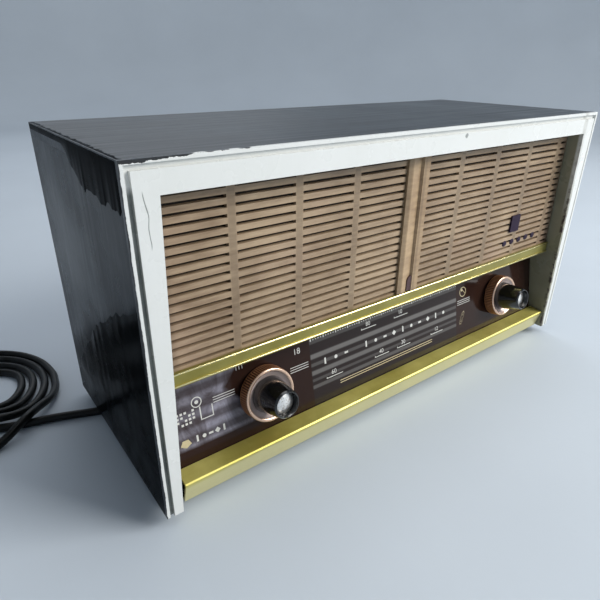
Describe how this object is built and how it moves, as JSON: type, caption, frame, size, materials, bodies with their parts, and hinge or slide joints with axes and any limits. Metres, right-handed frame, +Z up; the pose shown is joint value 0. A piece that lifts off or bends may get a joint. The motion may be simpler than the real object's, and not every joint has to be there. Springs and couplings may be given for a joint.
{
  "type": "table radio",
  "caption": "Mains table radio in a painted wooden cabinet: slatted grille, leaning dark dial with a pointer, and paired concentric controls.",
  "frame": {"origin": "on the floor under the middle of the set, the cord and plug left out", "axes": "+Z up, front towards -Y, +X to the right as seen from the front"},
  "size_m": [0.565, 0.2991, 0.206],
  "materials": {
    "black_paint": "black gloss paint on wood, brushed on by hand",
    "white_paint": "white gloss paint, aged",
    "bare_wood": "raw softwood battens",
    "baffle_board": "dark-stained fibreboard",
    "cloth": "dark brown loudspeaker cloth",
    "grille_plastic": "beige moulded plastic",
    "badge": "dark purple enamel",
    "gold": "gold anodised trim",
    "dial_glass": "dark brown printed glass, opaque from behind",
    "grey_steel": "grey lacquered steel",
    "felt": "grey felt pads",
    "lamp": "clear bulb",
    "pointer_brass": "bright brass",
    "copper_ring": "copper-coloured moulding",
    "knob_black": "black moulding",
    "silver_insert": "spun aluminium, spotted with age",
    "steel": "bright turned steel",
    "switch_board": "laminated paper board",
    "drum_plastic": "cream moulding",
    "aluminium_plate": "punched sheet",
    "twine": "waxed dial cord",
    "board_brown": "phenolic paper board",
    "capacitor_blue": "blue sleeve",
    "ferrite": "sintered ferrite",
    "copper_wire": "enamelled wire",
    "holder_white": "nylon",
    "cone_paper": "pressed paper",
    "magnet_grey": "zinc-plated magnet pot",
    "core_iron": "lacquered laminations",
    "winding_paper": "taped winding",
    "hardboard": "pressed hardboard",
    "rubber_black": "worn rubber",
    "cord_black": "slightly shiny rubber cord",
    "plug_black": "moulded plug"
  },
  "bodies": {
    "case": {"cabinet_top": "black_paint", "cabinet_bottom": "black_paint", "cabinet_left_side": "black_paint", "cabinet_right_side": "black_paint", "rear_battens": "bare_wood", "front_surround": "white_paint", "speaker_baffle": "baffle_board", "speaker_cloth": "cloth", "grille_left": "grille_plastic", "grille_right": "grille_plastic", "grille_pillar": "grille_plastic", "grille_badge": "badge", "divider_strip": "gold", "shelf_trim": "gold", "dial_glass": "dial_glass", "dial_backplate": "grey_steel", "glass_cushions": "felt", "dial_lamps": "lamp", "dual_potentiometer": "grey_steel", "control_nuts": "steel", "band_switch": "switch_board", "tuner_frame": "aluminium_plate", "drive_cord": "twine", "chassis": "aluminium_plate", "chassis_bolts": "steel", "circuit_board": "board_brown", "filter_cans": "aluminium_plate", "electrolytic_capacitors": "capacitor_blue", "ferrite_rod": "ferrite", "aerial_coils": "copper_wire", "rod_holders": "holder_white", "speaker_basket": "grey_steel", "speaker_cone": "cone_paper", "speaker_magnet": "magnet_grey", "transformer_core": "core_iron", "transformer_winding": "winding_paper", "rear_cover": "hardboard", "rear_cover_screws": "steel", "aerial_sockets": "switch_board", "feet": "rubber_black", "cord_gland": "rubber_black", "mains_cord_run": "cord_black", "mains_cord_coil": "cord_black", "mains_cord_tail": "cord_black", "mains_plug": "plug_black"},
    "tone": {"tone_ring": "copper_ring", "tone_shaft": "steel"},
    "volume": {"volume_knob": "knob_black", "volume_knob_insert": "silver_insert", "volume_shaft": "steel"},
    "tuning": {"tuning_ring": "copper_ring", "tuning_sleeve": "steel"},
    "band": {"band_knob": "knob_black", "band_knob_insert": "silver_insert", "band_shaft": "steel"},
    "tuner": {"drive_drum": "drum_plastic", "tuner_rotor": "aluminium_plate"},
    "left_guide": {"pulley_left": "pointer_brass"},
    "right_guide": {"pulley_right": "pointer_brass"},
    "dial_pointer": {"pointer": "pointer_brass"}
  },
  "joints": [
    {"name": "volume_turn", "type": "hinge", "parent": "case", "child": "volume", "pos_m": [-0.122, -0.0571, 0.052], "axis": [0, 0.9833, -0.1822], "range_deg": [0, 300]},
    {"name": "tone_turn", "type": "hinge", "parent": "case", "child": "tone", "pos_m": [-0.122, -0.0571, 0.052], "axis": [0, 0.9833, -0.1822], "range_deg": [-140, 140]},
    {"name": "tuning_turn", "type": "hinge", "parent": "case", "child": "tuning", "pos_m": [0.129, -0.0571, 0.052], "axis": [0, 0.9833, -0.1822], "range_deg": [-716.25, 716.25]},
    {"name": "band_turn", "type": "hinge", "parent": "case", "child": "band", "pos_m": [0.129, -0.0571, 0.052], "axis": [0, 0.9833, -0.1822], "range_deg": [-45, 45]},
    {"name": "drum_turn", "type": "hinge", "parent": "case", "child": "tuner", "pos_m": [0.06, -0.03317, 0.06587], "axis": [0, 0.9833, -0.1822], "range_deg": [-90.5, 90.5]},
    {"name": "left_guide_turn", "type": "hinge", "parent": "case", "child": "left_guide", "pos_m": [-0.092, -0.03591, 0.08672], "axis": [0, 0.9833, -0.1822], "range_deg": [-861, 861]},
    {"name": "right_guide_turn", "type": "hinge", "parent": "case", "child": "right_guide", "pos_m": [0.118, -0.03591, 0.08672], "axis": [0, 0.9833, -0.1822], "range_deg": [-861, 861]},
    {"name": "pointer_slide", "type": "slide", "parent": "case", "child": "dial_pointer", "axis": [1, 0, 0], "range_m": [-0.0753, 0.0753]}
  ],
  "couplings": [
    {"joint": "drum_turn", "follows": "tuning_turn", "ratio": 0.12565},
    {"joint": "left_guide_turn", "follows": "tuning_turn", "ratio": 1.2},
    {"joint": "right_guide_turn", "follows": "tuning_turn", "ratio": 1.2},
    {"joint": "pointer_slide", "follows": "tuning_turn", "m_per_rad": 0.006}
  ]
}
